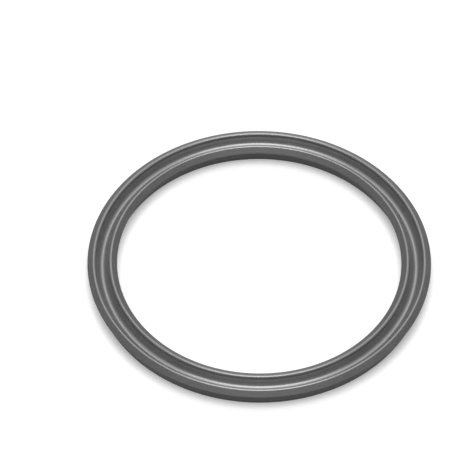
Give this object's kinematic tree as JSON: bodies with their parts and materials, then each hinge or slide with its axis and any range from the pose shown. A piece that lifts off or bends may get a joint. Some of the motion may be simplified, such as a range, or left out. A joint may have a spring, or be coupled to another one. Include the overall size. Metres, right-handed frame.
{
  "type": "u-cup seal",
  "caption": "Moulded rubber ring of U-shaped section: a solid heel with a flat face, and two flared sealing lips with a rounded groove between them.",
  "frame": {"origin": "centre of the ring, on the flat heel face it rests on", "axes": "+Z along the ring's axis, from the heel towards the lips; X and Y are across the ring, which is the same all the way round"},
  "size_m": [0.1042, 0.1042, 0.0063],
  "materials": {
    "rubber": "dark grey moulded rubber with a soft satin sheen"
  },
  "bodies": {
    "root": {"seal_ring": "rubber"}
  },
  "joints": []
}
